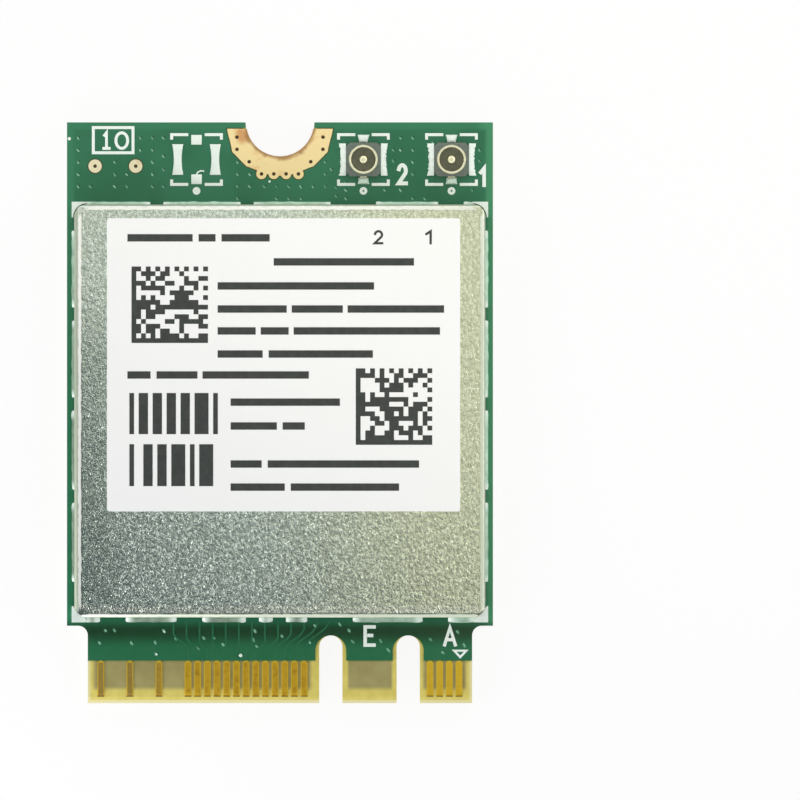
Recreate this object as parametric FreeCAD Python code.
"""Wireless network card: a keyed edge-connector board 22 x 30 mm with a soldered shield can, a label,
two coaxial antenna ports and the radio parts that the can covers. Millimetres, component side up.

X runs across the card, +Y from the contact tongue to the mounting notch, +Z up out of the component
side. The origin is at the middle of the card, on the face that it lies on.
"""

import FreeCAD
import Part

import math
import os

Vector = FreeCAD.Vector

# Board outline
BOARD_LENGTH = 30.0
LAMINATE_THICKNESS = 0.72
MASK_THICKNESS = 0.05
COPPER_THICKNESS = 0.04
TONGUE_LENGTH = 4.0
TONGUE_SIDE_LAND = 0.675
SHOULDER_WIDTH = 1.075
SHOULDER_RADIUS = 0.5
BEVEL_LENGTH = 0.5
BEVEL_DEPTH = 0.12

# Contact fingers, numbered from the right across both faces, odd ones on the component side
CONTACT_PITCH = 0.5
CONTACT_GAP = 0.15
CONTACT_LENGTH = 2.2
CONTACT_CHAMFER = 0.1
CONTACT_COUNT = 75
TOP_PIN_NUMBERS = (1, 3, 5, 7, *range(33, 58, 2), 63, 69, 75)
BOTTOM_PIN_NUMBERS = (2, 4, 6, *range(16, 24, 2), *range(32, 75, 2))

# Key slots, each in place of a run of pins
KEY_A_PIN_NUMBERS = (8, 15)
KEY_E_PIN_NUMBERS = (24, 31)
KEY_WIDTH = 1.2
KEY_ROOT_LAND = 0.5
KEY_MASK_LAND = 0.2

# Plated mounting notch in the end opposite the contacts
NOTCH_RADIUS = 1.75
PLATING_THICKNESS = 0.03
TOP_PAD_WIDTH = 1.0
BOTTOM_PAD_WIDTH = 1.25
PAD_END_GAP = 0.33
MASK_CLEARANCE = 0.05
VIA_HOLE_RADIUS = 0.1
VIA_LAND_RADIUS = 0.27
VIA_HOLE_SIDES = 8
# Ground vias of the pad: shares of its outer radius, and degrees below the board's end
PAD_VIA_SHARES = (0.855, 0.953, 0.938, 1.029, 0.975)
PAD_VIA_DEGREES = (18.9, 32.1, 52.0, 70.3, 83.2)
# The outline runs straight from each end past the lands of these vias, back to the ring at an angle
PAD_FLANK_VIAS = (1, 2)
PAD_FLANK_DEGREES = 63.0

# Probe pads in the corner of the antenna end
PROBE_PAD_RADIUS = 0.345
PROBE_PAD_SPACING = 2.1
PROBE_PAD_SIDE_INSET = 1.45
PROBE_PAD_END_INSET = 2.26

# Antenna port footprint, the same for both ports and the unused third place
PORT_END_INSET = 1.92
PORT_SIDE_INSET = 2.14
PORT_PAD_GAP = 0.28
LAND_SHOW = 0.38
SIDE_LAND_WIDTH = 0.62
SIDE_LAND_LENGTH = 1.62
END_LAND_WIDTH = 0.56
END_LAND_LENGTH = 0.52

# Antenna port: a ring on a moulded base, with a pin in the middle
RING_RADIUS = 0.75
RING_WALL = 0.12
PORT_HEIGHT = 0.6
RING_GROOVE_DEPTH = 0.03
RING_GROOVE_WIDTH = 0.12
RING_LIP = 0.04
HOUSING_SIDE_RIM = 0.15
HOUSING_END_RIM = 0.12
HOUSING_HEIGHT = 0.25
HOUSING_CHAMFER = 0.2
LEAD_THICKNESS = 0.1
LEAD_SHOW = 0.2
SIDE_LEG_WIDTH = 1.1
END_LEG_WIDTH = 0.36
PIN_RADIUS = 0.21
PIN_HEIGHT = 0.48
SIGNAL_WINDOW_WIDTH = 0.56
PORT_SOLDER_HEIGHT = 0.16

# Shield can, folded from one sheet
SHEET = 0.15
INNER_BEND_RADIUS = 0.1
SHIELD_HEIGHT = 1.3
SHIELD_SIDE_MARGIN = 0.4
SHIELD_PORT_GAP = 1.055
SHIELD_SHOULDER_MARGIN = 0.44
SHIELD_ROUND_CORNER = 0.65
SHIELD_CUT_CORNER = 0.5
FOOT_GAP_HEIGHT = 0.2
SHORTEST_FOOT = 0.2
NARROW_GAP = 0.68
WIDE_GAP = 1.32
LINE_GAP = 2.35
# Gaps between the soldered feet of each side: middle as a share of half the side, and width
LONG_SIDE_GAPS = (
    (-0.89, WIDE_GAP),
    (-0.413, NARROW_GAP),
    (0.034, NARROW_GAP),
    (0.47, NARROW_GAP),
    (0.906, NARROW_GAP),
)
FOOT_GAPS = {
    "antenna": ((-0.60, NARROW_GAP), (-0.16, NARROW_GAP), (0.357, LINE_GAP), (0.833, WIDE_GAP)),
    "tongue": (
        (-0.814, WIDE_GAP),
        (-0.441, WIDE_GAP),
        (-0.134, NARROW_GAP),
        (-0.003, NARROW_GAP),
        (0.244, LINE_GAP),
        (0.757, WIDE_GAP),
    ),
    "left": LONG_SIDE_GAPS,
    "right": LONG_SIDE_GAPS,
}

# Lands and solder that hold the shield can
LAND_INSIDE = 0.3
LAND_OUTSIDE = 0.15
TONGUE_LAND_OUTSIDE = 0.26
SHIELD_SOLDER_HEIGHT = 0.28
SOLDER_TOE = 0.03
SOLDER_HOLLOW = 0.4

# Label on the shield can: margins to the can's outer faces
LABEL_THICKNESS = 0.08
LABEL_LEFT_MARGIN = 1.70
LABEL_RIGHT_MARGIN = 1.30
LABEL_PORT_MARGIN = 0.72
LABEL_TONGUE_MARGIN = 5.48

# Radio chip, a flat no-lead package on a ring of terminals round a ground pad
CHIP_SIZE = 8.0
CHIP_HEIGHT = 0.82
CHIP_X = -2.5
CHIP_Y = -1.5
CHIP_STANDOFF = 0.03
CHIP_EDGE_CHAMFER = 0.1
TERMINAL_PITCH = 0.5
TERMINAL_WIDTH = 0.25
TERMINAL_LENGTH = 0.45
TERMINALS_PER_SIDE = 14
GROUND_PAD_SIZE = 5.4

# Crystal beside the chip
CRYSTAL_WIDTH = 2.5
CRYSTAL_LENGTH = 2.0
CRYSTAL_BASE_HEIGHT = 0.4
CRYSTAL_LID_HEIGHT = 0.15
CRYSTAL_LID_INSET = 0.15
CRYSTAL_CHIP_GAP = 2.0

# Front-end modules and diplexers, one of each behind each antenna port
MODULE_SIZE = 2.2
MODULE_HEIGHT = 0.7
MODULE_PORT_OFFSET = 0.6
MODULE_WALL_GAP = 3.3
DIPLEXER_WIDTH = 1.6
DIPLEXER_LENGTH = 0.8
DIPLEXER_HEIGHT = 0.6
DIPLEXER_WALL_GAP = 0.8

# Power inductor
INDUCTOR_WIDTH = 2.5
INDUCTOR_LENGTH = 2.0
INDUCTOR_HEIGHT = 0.9
INDUCTOR_CHIP_GAP = 2.2

# Small two-ended chips: capacitors, resistors and tuning inductors
SMALL_LENGTH = 1.0
SMALL_WIDTH = 0.5
CAPACITOR_HEIGHT = 0.5
RESISTOR_HEIGHT = 0.35
TUNER_HEIGHT = 0.45
END_CAP_LENGTH = 0.25
END_CAP_PROUD = 0.02
SMALL_PITCH = 1.1
SMALL_CHIP_GAP = 0.5
CAPACITORS_PER_SIDE = 6
RESISTORS_PER_ROW = 4
TUNER_MODULE_GAP = 0.45

# Levels, from the face that the card lies on
LAMINATE_BOTTOM = MASK_THICKNESS
LAMINATE_TOP = LAMINATE_BOTTOM + LAMINATE_THICKNESS
MASK_TOP = LAMINATE_TOP + MASK_THICKNESS
COPPER_TOP = LAMINATE_TOP + COPPER_THICKNESS
COPPER_BOTTOM = LAMINATE_BOTTOM - COPPER_THICKNESS
SHIELD_TOP = MASK_TOP + SHIELD_HEIGHT

# Places across and along the card
TONGUE_HALF = (CONTACT_COUNT - 1) * CONTACT_PITCH / 4 + TONGUE_SIDE_LAND
BOARD_HALF = TONGUE_HALF + SHOULDER_WIDTH
CONTACT_END = -BOARD_LENGTH / 2
NOTCH_END = BOARD_LENGTH / 2
SHOULDER = CONTACT_END + TONGUE_LENGTH
MASK_EDGE = CONTACT_END + CONTACT_LENGTH
CONTACT_WIDTH = CONTACT_PITCH - CONTACT_GAP
BOARD_NOTCH_RADIUS = NOTCH_RADIUS + PLATING_THICKNESS
TOP_PAD_RADIUS = NOTCH_RADIUS + TOP_PAD_WIDTH
BOTTOM_PAD_RADIUS = NOTCH_RADIUS + BOTTOM_PAD_WIDTH
HOUSING_WIDTH = 2 * (RING_RADIUS + HOUSING_SIDE_RIM)
HOUSING_LENGTH = 2 * (RING_RADIUS + HOUSING_END_RIM)
FOOTPRINT_HALF = HOUSING_WIDTH / 2 + LAND_SHOW
LEAD_REACH = HOUSING_WIDTH / 2 + LEAD_SHOW
PORT_Y = NOTCH_END - PORT_END_INSET
PORT_1_X = BOARD_HALF - PORT_SIDE_INSET
PORT_2_X = TOP_PAD_RADIUS + PORT_PAD_GAP + FOOTPRINT_HALF
SPARE_PORT_X = -PORT_2_X
SHIELD_HALF = BOARD_HALF - SHIELD_SIDE_MARGIN
SHIELD_ANTENNA_EDGE = PORT_Y - FOOTPRINT_HALF - SHIELD_PORT_GAP
SHIELD_TONGUE_EDGE = SHOULDER + SHIELD_SHOULDER_MARGIN
SHIELD_MIDDLE_Y = (SHIELD_ANTENNA_EDGE + SHIELD_TONGUE_EDGE) / 2
SHIELD_HALF_LENGTH = (SHIELD_ANTENNA_EDGE - SHIELD_TONGUE_EDGE) / 2
WALL_INSIDE_ANTENNA = SHIELD_ANTENNA_EDGE - SHEET
MODULE_Y = WALL_INSIDE_ANTENNA - MODULE_WALL_GAP - MODULE_SIZE / 2
OVERCUT = 0.2


def block(x, y, z):
    """A box between two values along each axis."""
    return Part.makeBox(x[1] - x[0], y[1] - y[0], z[1] - z[0], Vector(x[0], y[0], z[0]))


def centred_block(middle_x, middle_y, width, length, z):
    """A box of a width and length about a middle point."""
    x = (middle_x - width / 2, middle_x + width / 2)
    y = (middle_y - length / 2, middle_y + length / 2)
    return block(x, y, z)


def rod(radius, x, y, z):
    """An upright cylinder between two levels."""
    return Part.makeCylinder(radius, z[1] - z[0], Vector(x, y, z[0]))


def via_hole(x, y, z):
    """A drilled hole, drawn with few sides because it is so small."""
    corners = []
    for i in range(VIA_HOLE_SIDES):
        turn = 2 * math.pi * i / VIA_HOLE_SIDES
        corners.append((x + VIA_HOLE_RADIUS * math.cos(turn), y + VIA_HOLE_RADIUS * math.sin(turn), 0))
    return upright(loop(corners), z)


def line(start, end):
    return Part.LineSegment(Vector(*start), Vector(*end)).toShape()


def arc(start, middle, end):
    return Part.Arc(Vector(*start), Vector(*middle), Vector(*end)).toShape()


def loop(points):
    """Straight edges from each point to the next and back to the first."""
    return [line(points[i - 1], points[i]) for i in range(len(points))]


def prism(edges, along):
    """Extrudes the face inside a closed run of edges."""
    return Part.Face(Part.Wire(edges)).extrude(along)


def upright(edges, z):
    """A prism between two levels from edges drawn at level 0."""
    solid = prism(edges, Vector(0, 0, z[1] - z[0]))
    solid.translate(Vector(0, 0, z[0]))
    return solid


def fused(solids):
    """One solid out of several that overlap or touch."""
    return solids[0].multiFuse(solids[1:]).removeSplitter()


def pin_x(pin):
    """Where a numbered contact lies across the card."""
    return ((CONTACT_COUNT + 1) / 2 - pin) * CONTACT_PITCH / 2


def key_x(pins):
    return pin_x((pins[0] + pins[1]) / 2)


def board_edges(key_width):
    """The card's outline: tongue with two keys, shoulders, sides and the end with the round notch."""
    points = [(-TONGUE_HALF, CONTACT_END, 0)]
    edges = []

    def run_to(x, y):
        edges.append(line(points[-1], (x, y, 0)))
        points.append((x, y, 0))

    def bend_to(middle, x, y):
        edges.append(arc(points[-1], (*middle, 0), (x, y, 0)))
        points.append((x, y, 0))

    key_half = key_width / 2
    key_top = SHOULDER - KEY_ROOT_LAND
    for middle in sorted((key_x(KEY_A_PIN_NUMBERS), key_x(KEY_E_PIN_NUMBERS))):
        run_to(middle - key_half, CONTACT_END)
        run_to(middle - key_half, key_top - key_half)
        bend_to((middle, key_top), middle + key_half, key_top - key_half)
        run_to(middle + key_half, CONTACT_END)
    run_to(TONGUE_HALF, CONTACT_END)
    run_to(TONGUE_HALF, SHOULDER - SHOULDER_RADIUS)
    short = SHOULDER_RADIUS * (1 - math.sqrt(0.5))
    bend_to((TONGUE_HALF + short, SHOULDER - short), TONGUE_HALF + SHOULDER_RADIUS, SHOULDER)
    run_to(BOARD_HALF, SHOULDER)
    run_to(BOARD_HALF, NOTCH_END)
    run_to(BOARD_NOTCH_RADIUS, NOTCH_END)
    bend_to((0, NOTCH_END - BOARD_NOTCH_RADIUS), -BOARD_NOTCH_RADIUS, NOTCH_END)
    run_to(-BOARD_HALF, NOTCH_END)
    run_to(-BOARD_HALF, SHOULDER)
    run_to(-TONGUE_HALF - SHOULDER_RADIUS, SHOULDER)
    bend_to((-TONGUE_HALF - short, SHOULDER - short), -TONGUE_HALF, SHOULDER - SHOULDER_RADIUS)
    run_to(-TONGUE_HALF, CONTACT_END)
    return edges


def bevels():
    """The two wedges that bevel the tongue's leading edge, from the contact faces inwards."""
    wedges = []
    for face, inward in ((COPPER_TOP, -1), (COPPER_BOTTOM, 1)):
        slope = inward * BEVEL_DEPTH / BEVEL_LENGTH
        near = (CONTACT_END - OVERCUT, face + slope * (BEVEL_LENGTH + OVERCUT))
        far = (CONTACT_END + BEVEL_LENGTH + OVERCUT, face - slope * OVERCUT)
        x = -BOARD_HALF
        corners = [(x, *near), (x, *far), (x, near[0], far[1])]
        wedges.append(prism(loop(corners), Vector(2 * BOARD_HALF, 0, 0)))
    return wedges


def circuit_board():
    return upright(board_edges(KEY_WIDTH), (LAMINATE_BOTTOM, LAMINATE_TOP)).cut(bevels())


def mask_sheet(z):
    """The coated area: the card without the fingers' strip and a bare land beside each key slot."""
    coated = block((-BOARD_HALF, BOARD_HALF), (MASK_EDGE, NOTCH_END), z)
    return upright(board_edges(KEY_WIDTH + 2 * KEY_MASK_LAND), z).common(coated)


def solder_mask_top():
    z = (LAMINATE_TOP, MASK_TOP)
    openings = [top_pad(z, MASK_CLEARANCE)]
    openings += [rod(PROBE_PAD_RADIUS + MASK_CLEARANCE, x, y, z) for x, y in probe_places()]
    openings += shield_land_solids()
    for x in (PORT_1_X, PORT_2_X, SPARE_PORT_X):
        openings += port_land_solids(x)
    return mask_sheet(z).cut(openings)


def solder_mask_bottom():
    z = (0, LAMINATE_BOTTOM)
    opening = half_disc(BOTTOM_PAD_RADIUS + MASK_CLEARANCE, z, PAD_END_GAP - MASK_CLEARANCE)
    return mask_sheet(z).cut(opening)


def half_disc(radius, z, end_gap):
    """A disc about the notch, cut off short of the card's end."""
    whole = rod(radius, 0, NOTCH_END, z)
    reach = radius + OVERCUT
    return whole.common(block((-reach, reach), (NOTCH_END - reach, NOTCH_END - end_gap), z))


def pad_via_places():
    """Middles of the pad's ground vias, on both sides of the card's middle line."""
    places = []
    for share, degrees in zip(PAD_VIA_SHARES, PAD_VIA_DEGREES):
        radius = TOP_PAD_RADIUS * share
        x = radius * math.cos(math.radians(degrees))
        y = NOTCH_END - radius * math.sin(math.radians(degrees))
        places += [(x, y), (-x, y)]
    return places


def pad_flanks(z, grown):
    """Straight-sided fills between the lands of the vias nearest to the pad's two ends."""
    ring = TOP_PAD_RADIUS + grown
    end_gap = PAD_END_GAP - grown
    turns = [math.asin(end_gap / ring)]
    reaches = [ring]
    for via in PAD_FLANK_VIAS:
        turns.append(math.radians(PAD_VIA_DEGREES[via]))
        reaches.append(TOP_PAD_RADIUS * PAD_VIA_SHARES[via] + VIA_LAND_RADIUS + grown)
    turns.append(math.radians(PAD_FLANK_DEGREES))
    reaches.append(ring)
    flanks = []
    for side in (-1, 1):
        corners = [(0, NOTCH_END - end_gap, 0)]
        for turn, reach in zip(turns, reaches):
            corners.append((side * reach * math.cos(turn), NOTCH_END - reach * math.sin(turn), 0))
        flanks.append(upright(loop(corners[::-side]), z))
    return flanks


def top_pad(z, grown):
    """The half ring on the component side, scalloped at its lowest vias and grown by a clearance."""
    lobes = [rod(VIA_LAND_RADIUS + grown, x, y, z) for x, y in pad_via_places()]
    ring = half_disc(TOP_PAD_RADIUS + grown, z, PAD_END_GAP - grown)
    return fused([ring, *pad_flanks(z, grown), *lobes])


def mounting_pad():
    """Pads on both faces and the plated wall between them, all one piece of copper."""
    top = top_pad((LAMINATE_TOP, COPPER_TOP), 0)
    bottom = half_disc(BOTTOM_PAD_RADIUS, (COPPER_BOTTOM, LAMINATE_BOTTOM), PAD_END_GAP)
    wall = half_disc(BOARD_NOTCH_RADIUS, (COPPER_BOTTOM, COPPER_TOP), PAD_END_GAP)
    hole = rod(NOTCH_RADIUS, 0, NOTCH_END, (-OVERCUT, MASK_TOP + OVERCUT))
    vias = [via_hole(x, y, (LAMINATE_TOP, COPPER_TOP)) for x, y in pad_via_places()]
    return fused([wall, top, bottom]).cut([hole, *vias])


def contact(pin, z):
    """One gold finger, straight to the card's edge, with its corners cut where the mask begins."""
    x = pin_x(pin)
    half = CONTACT_WIDTH / 2
    corners = [
        (x - half, CONTACT_END, 0),
        (x + half, CONTACT_END, 0),
        (x + half, MASK_EDGE - CONTACT_CHAMFER, 0),
        (x + half - CONTACT_CHAMFER, MASK_EDGE, 0),
        (x - half + CONTACT_CHAMFER, MASK_EDGE, 0),
        (x - half, MASK_EDGE - CONTACT_CHAMFER, 0),
    ]
    return upright(loop(corners), z).cut(bevels())


def contacts_top():
    return Part.makeCompound([contact(pin, (LAMINATE_TOP, COPPER_TOP)) for pin in TOP_PIN_NUMBERS])


def contacts_bottom():
    return Part.makeCompound([contact(pin, (COPPER_BOTTOM, LAMINATE_BOTTOM)) for pin in BOTTOM_PIN_NUMBERS])


def probe_places():
    y = NOTCH_END - PROBE_PAD_END_INSET
    first = -BOARD_HALF + PROBE_PAD_SIDE_INSET
    return [(first, y), (first + PROBE_PAD_SPACING, y)]


def probe_pads():
    z = (LAMINATE_TOP, COPPER_TOP)
    rings = [rod(PROBE_PAD_RADIUS, x, y, z).cut(via_hole(x, y, z)) for x, y in probe_places()]
    return Part.makeCompound(rings)


def port_land_solids(x):
    """Four tinned lands of one antenna port, level with the mask."""
    z = (LAMINATE_TOP, MASK_TOP)
    side = FOOTPRINT_HALF - SIDE_LAND_WIDTH / 2
    end = FOOTPRINT_HALF - END_LAND_LENGTH / 2
    lands = [centred_block(x + s * side, PORT_Y, SIDE_LAND_WIDTH, SIDE_LAND_LENGTH, z) for s in (-1, 1)]
    lands += [centred_block(x, PORT_Y + s * end, END_LAND_WIDTH, END_LAND_LENGTH, z) for s in (-1, 1)]
    return lands


def port_lands(x):
    return Part.makeCompound(port_land_solids(x))


def ring_profile():
    """Half section of the port's ring, with its snap groove and broken top edges."""
    inside = RING_RADIUS - RING_WALL
    lip = PORT_HEIGHT - RING_LIP
    groove = (HOUSING_HEIGHT + lip) / 2
    return [
        (inside, 0),
        (RING_RADIUS, 0),
        (RING_RADIUS, groove - RING_GROOVE_WIDTH / 2),
        (RING_RADIUS - RING_GROOVE_DEPTH, groove),
        (RING_RADIUS, groove + RING_GROOVE_WIDTH / 2),
        (RING_RADIUS, lip),
        (RING_RADIUS - RING_LIP, PORT_HEIGHT),
        (inside + RING_LIP, PORT_HEIGHT),
        (inside, lip),
    ]


def turned(profile):
    """A solid of revolution about the vertical from a half section of radius and height."""
    edges = loop([(radius, 0, height) for radius, height in profile])
    return Part.Face(Part.Wire(edges)).revolve(Vector(), Vector(0, 0, 1), 360)


def bare_shell():
    """Ring, two side legs and an end leg, with a window in the ring for the signal lead."""
    lead = (0, LEAD_THICKNESS)
    ring_middle = RING_RADIUS - RING_WALL / 2
    ring = turned(ring_profile())
    window = block(
        (-SIGNAL_WINDOW_WIDTH / 2, SIGNAL_WINDOW_WIDTH / 2), (-RING_RADIUS, 0), (0, HOUSING_HEIGHT)
    )
    side_leg = (-SIDE_LEG_WIDTH / 2, SIDE_LEG_WIDTH / 2)
    legs = [
        block((ring_middle, LEAD_REACH), side_leg, lead),
        block((-LEAD_REACH, -ring_middle), side_leg, lead),
        block((-END_LEG_WIDTH / 2, END_LEG_WIDTH / 2), (ring_middle, LEAD_REACH), lead),
    ]
    bore = rod(RING_RADIUS - RING_WALL, 0, 0, lead)
    return fused([ring.cut(window), *[leg.cut(bore) for leg in legs]])


def bare_pin():
    """Centre pin with a round tip, and its signal lead out of the port's inner side."""
    tip = PIN_HEIGHT - PIN_RADIUS
    shoulder = PIN_RADIUS * math.sqrt(0.5)
    edges = [
        line((0, 0, 0), (PIN_RADIUS, 0, 0)),
        line((PIN_RADIUS, 0, 0), (PIN_RADIUS, 0, tip)),
        arc((PIN_RADIUS, 0, tip), (shoulder, 0, tip + shoulder), (0, 0, PIN_HEIGHT)),
        line((0, 0, PIN_HEIGHT), (0, 0, 0)),
    ]
    post = Part.Face(Part.Wire(edges)).revolve(Vector(), Vector(0, 0, 1), 360)
    lead = block((-END_LEG_WIDTH / 2, END_LEG_WIDTH / 2), (-LEAD_REACH, 0), (0, LEAD_THICKNESS))
    return fused([post, lead])


def bare_housing():
    """Moulded base that holds the ring and the pin, with its corners cut."""
    base = centred_block(0, 0, HOUSING_WIDTH, HOUSING_LENGTH, (0, HOUSING_HEIGHT))
    corners = [edge for edge in base.Edges if abs(edge.tangentAt(0).z) > 0.5]
    return base.makeChamfer(HOUSING_CHAMFER, corners).cut([bare_shell(), bare_pin()])


def bare_port_solder():
    """A rounded bead on each land of a port, let in round the legs and the base."""
    reach = FOOTPRINT_HALF
    side_inner = FOOTPRINT_HALF - SIDE_LAND_WIDTH
    end_inner = FOOTPRINT_HALF - END_LAND_LENGTH
    rise = (0, PORT_SOLDER_HEIGHT)
    side_half = SIDE_LAND_LENGTH / 2
    end_half = END_LAND_WIDTH / 2
    beads = []
    for sign in (-1, 1):
        middle = sign * (reach + side_inner) / 2
        edges = bead_section((sign * side_inner, 0), (middle, rise[1]), (sign * reach, 0))
        beads.append(prism([edge_at_y(edge, -side_half) for edge in edges], Vector(0, 2 * side_half, 0)))
        middle = sign * (reach + end_inner) / 2
        edges = bead_section((sign * end_inner, 0), (middle, rise[1]), (sign * reach, 0))
        turned_bead = prism([edge_at_y(edge, -end_half) for edge in edges], Vector(0, 2 * end_half, 0))
        turned_bead.rotate(Vector(), Vector(0, 0, 1), 90)
        beads.append(turned_bead)
    base = centred_block(0, 0, HOUSING_WIDTH, HOUSING_LENGTH, (0, HOUSING_HEIGHT))
    return Part.makeCompound([bead.cut([base, bare_shell(), bare_pin()]) for bead in beads])


def bead_section(start, top, end):
    """Flat foot and round back of a solder bead, in the XZ plane."""
    points = [(x, 0, z) for x, z in (start, top, end)]
    return [arc(*points), line(points[2], points[0])]


def edge_at_y(edge, y):
    moved = edge.copy()
    moved.translate(Vector(0, y, 0))
    return moved


def on_port(shape, x):
    """Sets a port's piece on the board, at one of the antenna places."""
    shape.translate(Vector(x, PORT_Y, MASK_TOP))
    return shape


def spare_port_solder():
    """Flat pools of solder on the lands of the unused antenna place."""
    z = (MASK_TOP, MASK_TOP + COPPER_THICKNESS)
    side = FOOTPRINT_HALF - SIDE_LAND_WIDTH / 2
    end = FOOTPRINT_HALF - END_LAND_LENGTH / 2
    pools = []
    for s in (-1, 1):
        width = SIDE_LAND_WIDTH - 2 * MASK_CLEARANCE
        length = SIDE_LAND_LENGTH - 2 * MASK_CLEARANCE
        pools.append(centred_block(SPARE_PORT_X + s * side, PORT_Y, width, length, z))
        width = END_LAND_WIDTH - 2 * MASK_CLEARANCE
        length = END_LAND_LENGTH - 2 * MASK_CLEARANCE
        pools.append(centred_block(SPARE_PORT_X, PORT_Y + s * end, width, length, z))
    return Part.makeCompound(pools)


def side_half_length(side):
    return SHIELD_HALF if side in ("antenna", "tongue") else SHIELD_HALF_LENGTH


def side_point(side, outward, along, z):
    """A point by one side of the can: outward from its face, along it from its middle, and a level."""
    return {
        "antenna": (along, SHIELD_ANTENNA_EDGE + outward, z),
        "tongue": (along, SHIELD_TONGUE_EDGE - outward, z),
        "left": (-SHIELD_HALF - outward, SHIELD_MIDDLE_Y + along, z),
        "right": (SHIELD_HALF + outward, SHIELD_MIDDLE_Y + along, z),
    }[side]


def side_block(side, outward, along, z):
    """A box by one side of the can."""
    a = side_point(side, outward[0], along[0], z[0])
    b = side_point(side, outward[1], along[1], z[1])
    spans = [(min(p, q), max(p, q)) for p, q in zip(a, b)]
    return block(*spans)


def foot_gaps(side):
    """The stretches of one side that aren't soldered."""
    half = side_half_length(side)
    return [(share * half - width / 2, share * half + width / 2) for share, width in FOOT_GAPS[side]]


def feet(side, corner):
    """The soldered stretches of one side, between the gaps and out to a distance short of its corners."""
    half = side_half_length(side)
    ends = [-half + corner]
    for low, high in foot_gaps(side):
        ends += [low, high]
    ends.append(half - corner)
    stretches = [(ends[i], ends[i + 1]) for i in range(0, len(ends), 2)]
    return [(low, high) for low, high in stretches if high - low > SHORTEST_FOOT]


def land_reach(side):
    return TONGUE_LAND_OUTSIDE if side == "tongue" else LAND_OUTSIDE


def shield_land_solids():
    """Tinned lands under the can's feet, level with the mask and joined round its corners."""
    z = (LAMINATE_TOP, MASK_TOP)
    lands = []
    for side in FOOT_GAPS:
        outward = (-LAND_INSIDE, land_reach(side))
        lands += [side_block(side, outward, along, z) for along in feet(side, -LAND_OUTSIDE)]
    joined = lands[0].multiFuse(lands[1:]).removeSplitter()
    return joined.Solids


def shield_lands():
    return Part.makeCompound(shield_land_solids())


def shield_solder():
    """A hollow fillet of solder up the can's wall at each foot."""
    fillets = []
    corner = max(SHIELD_ROUND_CORNER, SHIELD_CUT_CORNER)
    for side in FOOT_GAPS:
        reach = land_reach(side)
        section = [
            (0, 0),
            (reach, 0),
            (reach, SOLDER_TOE),
            (reach * SOLDER_HOLLOW, SHIELD_SOLDER_HEIGHT * SOLDER_HOLLOW),
            (0, SHIELD_SOLDER_HEIGHT),
        ]
        for low, high in feet(side, corner):
            points = [side_point(side, outward, low, MASK_TOP + rise) for outward, rise in section]
            far = side_point(side, 0, high, MASK_TOP)
            fillets.append(prism(loop(points), Vector(*far) - Vector(*points[0])))
    return Part.makeCompound(fillets)


def rounded_lid_block(inset, z_low, bend_radius):
    """A block the size of the can, inset on all sides, with its top edges rounded as bends."""
    x = (-SHIELD_HALF + inset, SHIELD_HALF - inset)
    y = (SHIELD_TONGUE_EDGE + inset, SHIELD_ANTENNA_EDGE - inset)
    top = SHIELD_TOP - inset
    solid = block(x, y, (z_low, top))
    bends = [edge for edge in solid.Edges if edge.BoundBox.ZMin > top - bend_radius / 2]
    return solid.makeFillet(bend_radius, bends)


def corner_cuts():
    """What is trimmed off the can's corners: round at the antenna end, straight at the tongue."""
    z = (MASK_TOP, SHIELD_TOP)
    cuts = []
    for s in (-1, 1):
        inner = (s * (SHIELD_HALF - SHIELD_ROUND_CORNER), SHIELD_ANTENNA_EDGE - SHIELD_ROUND_CORNER)
        square = [sorted((inner[0], s * SHIELD_HALF)), (inner[1], SHIELD_ANTENNA_EDGE)]
        cuts.append(block(*square, z).cut(rod(SHIELD_ROUND_CORNER, *inner, z)))
        tip = (s * SHIELD_HALF, SHIELD_TONGUE_EDGE, 0)
        along = (s * (SHIELD_HALF - SHIELD_CUT_CORNER), SHIELD_TONGUE_EDGE, 0)
        up = (s * SHIELD_HALF, SHIELD_TONGUE_EDGE + SHIELD_CUT_CORNER, 0)
        cuts.append(upright(loop([tip, along, up]), z))
    return cuts


def shield_can():
    """One folded sheet: lid, bends and four walls, open at the corners, with feet between the gaps."""
    outside = rounded_lid_block(0, MASK_TOP, INNER_BEND_RADIUS + SHEET)
    inside = rounded_lid_block(SHEET, MASK_TOP, INNER_BEND_RADIUS)
    gaps = []
    for side in FOOT_GAPS:
        through = (-SHEET - OVERCUT, OVERCUT)
        z = (MASK_TOP, MASK_TOP + FOOT_GAP_HEIGHT)
        gaps += [side_block(side, through, along, z) for along in foot_gaps(side)]
    return outside.cut([inside, *corner_cuts(), *gaps])


def label():
    """Flat sticker on the can's lid."""
    x = (-SHIELD_HALF + LABEL_LEFT_MARGIN, SHIELD_HALF - LABEL_RIGHT_MARGIN)
    y = (SHIELD_TONGUE_EDGE + LABEL_TONGUE_MARGIN, SHIELD_ANTENNA_EDGE - LABEL_PORT_MARGIN)
    return block(x, y, (SHIELD_TOP, SHIELD_TOP + LABEL_THICKNESS))


def radio_chip():
    """Moulded body of the radio chip, with its upper edges broken."""
    z = (MASK_TOP + CHIP_STANDOFF, MASK_TOP + CHIP_HEIGHT)
    body = centred_block(CHIP_X, CHIP_Y, CHIP_SIZE, CHIP_SIZE, z)
    rim = [edge for edge in body.Edges if edge.BoundBox.ZMin > z[1] - CHIP_EDGE_CHAMFER / 2]
    return body.makeChamfer(CHIP_EDGE_CHAMFER, rim)


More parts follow.
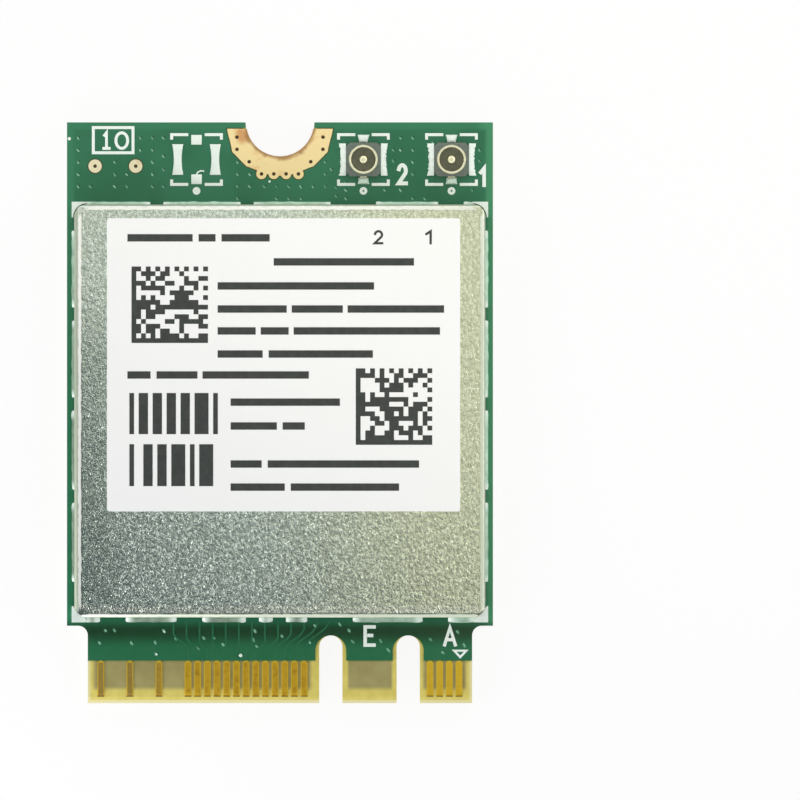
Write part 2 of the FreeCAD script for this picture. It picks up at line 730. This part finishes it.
def radio_chip_terminals():
    """Terminals round the chip's underside, and its ground pad."""
    z = (MASK_TOP, MASK_TOP + CHIP_STANDOFF)
    pads = [centred_block(CHIP_X, CHIP_Y, GROUND_PAD_SIZE, GROUND_PAD_SIZE, z)]
    rim = CHIP_SIZE / 2 - TERMINAL_LENGTH / 2
    for i in range(TERMINALS_PER_SIDE):
        along = (i - (TERMINALS_PER_SIDE - 1) / 2) * TERMINAL_PITCH
        for s in (-1, 1):
            pads.append(centred_block(CHIP_X + along, CHIP_Y + s * rim, TERMINAL_WIDTH, TERMINAL_LENGTH, z))
            pads.append(centred_block(CHIP_X + s * rim, CHIP_Y + along, TERMINAL_LENGTH, TERMINAL_WIDTH, z))
    return Part.makeCompound(pads)


def crystal_place():
    x = CHIP_X - CHIP_SIZE / 2 + CRYSTAL_WIDTH / 2
    return x, CHIP_Y + CHIP_SIZE / 2 + CRYSTAL_CHIP_GAP + CRYSTAL_LENGTH / 2


def crystal_base():
    z = (MASK_TOP, MASK_TOP + CRYSTAL_BASE_HEIGHT)
    return centred_block(*crystal_place(), CRYSTAL_WIDTH, CRYSTAL_LENGTH, z)


def crystal_lid():
    foot = MASK_TOP + CRYSTAL_BASE_HEIGHT
    width = CRYSTAL_WIDTH - 2 * CRYSTAL_LID_INSET
    length = CRYSTAL_LENGTH - 2 * CRYSTAL_LID_INSET
    return centred_block(*crystal_place(), width, length, (foot, foot + CRYSTAL_LID_HEIGHT))


def front_end_module(port_x):
    z = (MASK_TOP, MASK_TOP + MODULE_HEIGHT)
    return centred_block(port_x - MODULE_PORT_OFFSET, MODULE_Y, MODULE_SIZE, MODULE_SIZE, z)


def diplexer(port_x):
    y = WALL_INSIDE_ANTENNA - DIPLEXER_WALL_GAP - DIPLEXER_LENGTH / 2
    z = (MASK_TOP, MASK_TOP + DIPLEXER_HEIGHT)
    return centred_block(port_x, y, DIPLEXER_WIDTH, DIPLEXER_LENGTH, z)


def power_inductor():
    x = CHIP_X + CHIP_SIZE / 2 + INDUCTOR_CHIP_GAP + INDUCTOR_WIDTH / 2
    y = CHIP_Y - CHIP_SIZE / 2 + INDUCTOR_LENGTH / 2
    return two_ended(x, y, (INDUCTOR_WIDTH, INDUCTOR_LENGTH), INDUCTOR_HEIGHT, 0)


def two_ended(x, y, size, height, turn):
    """A chip with a metal cap on each end, a little prouder than its body."""
    length, width = size
    proud = END_CAP_PROUD
    body = centred_block(0, 0, length - 2 * proud, width - 2 * proud, (proud, height - proud))
    middle = (length - END_CAP_LENGTH) / 2
    caps = [centred_block(s * middle, 0, END_CAP_LENGTH, width, (0, height)) for s in (-1, 1)]
    chip = fused([body, *caps])
    chip.rotate(Vector(), Vector(0, 0, 1), turn)
    chip.translate(Vector(x, y, MASK_TOP))
    return chip


def row_offsets(count):
    return [(i - (count - 1) / 2) * SMALL_PITCH for i in range(count)]


def capacitors():
    """Rows of capacitors along the chip's left, right and tongue sides."""
    out = CHIP_SIZE / 2 + SMALL_CHIP_GAP + SMALL_LENGTH / 2
    size = (SMALL_LENGTH, SMALL_WIDTH)
    chips = []
    for along in row_offsets(CAPACITORS_PER_SIDE):
        chips.append(two_ended(CHIP_X - out, CHIP_Y + along, size, CAPACITOR_HEIGHT, 0))
        chips.append(two_ended(CHIP_X + out, CHIP_Y + along, size, CAPACITOR_HEIGHT, 0))
        chips.append(two_ended(CHIP_X + along, CHIP_Y - out, size, CAPACITOR_HEIGHT, 90))
    return Part.makeCompound(chips)


def resistors():
    """A row of resistors between the chip and the crystal."""
    y = CHIP_Y + CHIP_SIZE / 2 + SMALL_CHIP_GAP + SMALL_LENGTH / 2
    size = (SMALL_LENGTH, SMALL_WIDTH)
    chips = [two_ended(CHIP_X + dx, y, size, RESISTOR_HEIGHT, 90) for dx in row_offsets(RESISTORS_PER_ROW)]
    return Part.makeCompound(chips)


def tuning_inductors():
    """Two matching inductors between each front-end module and its diplexer."""
    y = MODULE_Y + MODULE_SIZE / 2 + TUNER_MODULE_GAP + SMALL_LENGTH / 2
    size = (SMALL_LENGTH, SMALL_WIDTH)
    chips = []
    for port_x in (PORT_1_X, PORT_2_X):
        middle = port_x - MODULE_PORT_OFFSET
        chips += [two_ended(middle + dx, y, size, TUNER_HEIGHT, 90) for dx in row_offsets(2)]
    return Part.makeCompound(chips)


def nodes():
    """Every piece of the card by name."""
    made = {
        "circuit_board": circuit_board(),
        "solder_mask_top": solder_mask_top(),
        "solder_mask_bottom": solder_mask_bottom(),
        "mounting_pad": mounting_pad(),
        "contacts_top": contacts_top(),
        "contacts_bottom": contacts_bottom(),
        "probe_pads": probe_pads(),
        "spare_port_lands": port_lands(SPARE_PORT_X),
        "spare_port_solder": spare_port_solder(),
        "shield_lands": shield_lands(),
        "shield_solder": shield_solder(),
        "shield_can": shield_can(),
        "label": label(),
        "radio_chip": radio_chip(),
        "radio_chip_terminals": radio_chip_terminals(),
        "crystal_base": crystal_base(),
        "crystal_lid": crystal_lid(),
        "power_inductor": power_inductor(),
        "capacitors": capacitors(),
        "resistors": resistors(),
        "tuning_inductors": tuning_inductors(),
    }
    for number, x in ((1, PORT_1_X), (2, PORT_2_X)):
        made[f"antenna_{number}_lands"] = port_lands(x)
        made[f"antenna_{number}_shell"] = on_port(bare_shell(), x)
        made[f"antenna_{number}_pin"] = on_port(bare_pin(), x)
        made[f"antenna_{number}_housing"] = on_port(bare_housing(), x)
        made[f"antenna_{number}_solder"] = on_port(bare_port_solder(), x)
        made[f"front_end_module_{number}"] = front_end_module(x)
        made[f"diplexer_{number}"] = diplexer(x)
    return made


def main():
    os.makedirs("parts", exist_ok=True)
    for name, shape in nodes().items():
        shape.exportStep(f"parts/{name}.step")


main()
